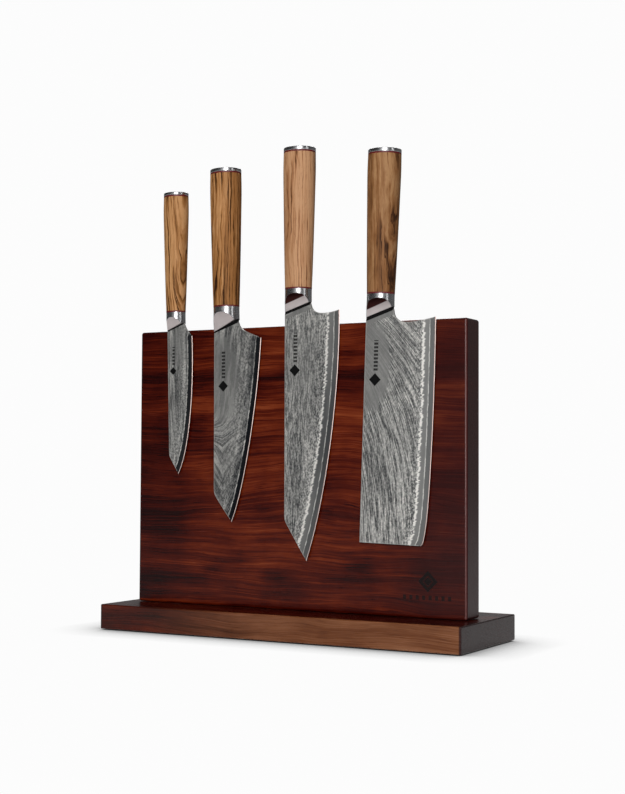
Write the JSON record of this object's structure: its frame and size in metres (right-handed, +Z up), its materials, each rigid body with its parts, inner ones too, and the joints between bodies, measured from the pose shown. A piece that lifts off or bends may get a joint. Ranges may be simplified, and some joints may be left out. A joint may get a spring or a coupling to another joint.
{
  "type": "magnetic knife stand with knives",
  "caption": "Upright wooden magnetic panel on a base plank, holding kitchen knives by their blades on its front face; each knife has a steel bolster, oval wooden handle and end cap.",
  "frame": {"origin": "on the surface it stands on, under the middle of the base plank", "axes": "+X along the panel to the right as seen from the front, +Y from the knives to the panel's back, +Z up"},
  "size_m": [0.3264, 0.108, 0.3955],
  "materials": {
    "stained_wood": "dark red-brown stain under a satin lacquer, horizontal grain",
    "olive_wood": "smooth oiled olive wood, light brown with dark streaks along the handle",
    "beech": "bare, fluted for glue",
    "damascus_steel": "etched layered steel, grey with a wavy pattern, bright ground edge",
    "bright_steel": "satin-polished steel",
    "zinc_steel": "zinc-plated",
    "magnet": "nickel-plated neodymium bar",
    "red_fibre": "red vulcanised-fibre spacer sheet",
    "rubber": "black, matt"
  },
  "bodies": {
    "stand": {"base_plank": "stained_wood", "front_board": "stained_wood", "back_board": "stained_wood", "magnet_upper_1": "magnet", "magnet_upper_2": "magnet", "magnet_upper_3": "magnet", "magnet_upper_4": "magnet", "magnet_lower_1": "magnet", "magnet_lower_2": "magnet", "magnet_lower_3": "magnet", "magnet_lower_4": "magnet", "panel_screw_left": "zinc_steel", "panel_screw_middle": "zinc_steel", "panel_screw_right": "zinc_steel", "panel_dowel_left": "beech", "panel_dowel_right": "beech", "foot_front_left": "rubber", "foot_front_right": "rubber", "foot_back_left": "rubber", "foot_back_right": "rubber"},
    "utility_knife": {"utility_blade": "damascus_steel", "utility_bolster": "bright_steel", "utility_front_liner": "red_fibre", "utility_handle": "olive_wood", "utility_rear_liner": "red_fibre", "utility_end_cap": "bright_steel"},
    "bunka_knife": {"bunka_blade": "damascus_steel", "bunka_bolster": "bright_steel", "bunka_front_liner": "red_fibre", "bunka_handle": "olive_wood", "bunka_rear_liner": "red_fibre", "bunka_end_cap": "bright_steel"},
    "chef_knife": {"chef_blade": "damascus_steel", "chef_bolster": "bright_steel", "chef_front_liner": "red_fibre", "chef_handle": "olive_wood", "chef_rear_liner": "red_fibre", "chef_end_cap": "bright_steel"},
    "nakiri_knife": {"nakiri_blade": "damascus_steel", "nakiri_bolster": "bright_steel", "nakiri_front_liner": "red_fibre", "nakiri_handle": "olive_wood", "nakiri_rear_liner": "red_fibre", "nakiri_end_cap": "bright_steel"}
  },
  "joints": [
    {"name": "utility_pull", "type": "slide", "parent": "stand", "child": "utility_knife", "axis": [0, -1, 0], "range_m": [0, 0.1]},
    {"name": "bunka_pull", "type": "slide", "parent": "stand", "child": "bunka_knife", "axis": [0, -1, 0], "range_m": [0, 0.1]},
    {"name": "chef_pull", "type": "slide", "parent": "stand", "child": "chef_knife", "axis": [0, -1, 0], "range_m": [0, 0.1]},
    {"name": "nakiri_pull", "type": "slide", "parent": "stand", "child": "nakiri_knife", "axis": [0, -1, 0], "range_m": [0, 0.1]}
  ]
}
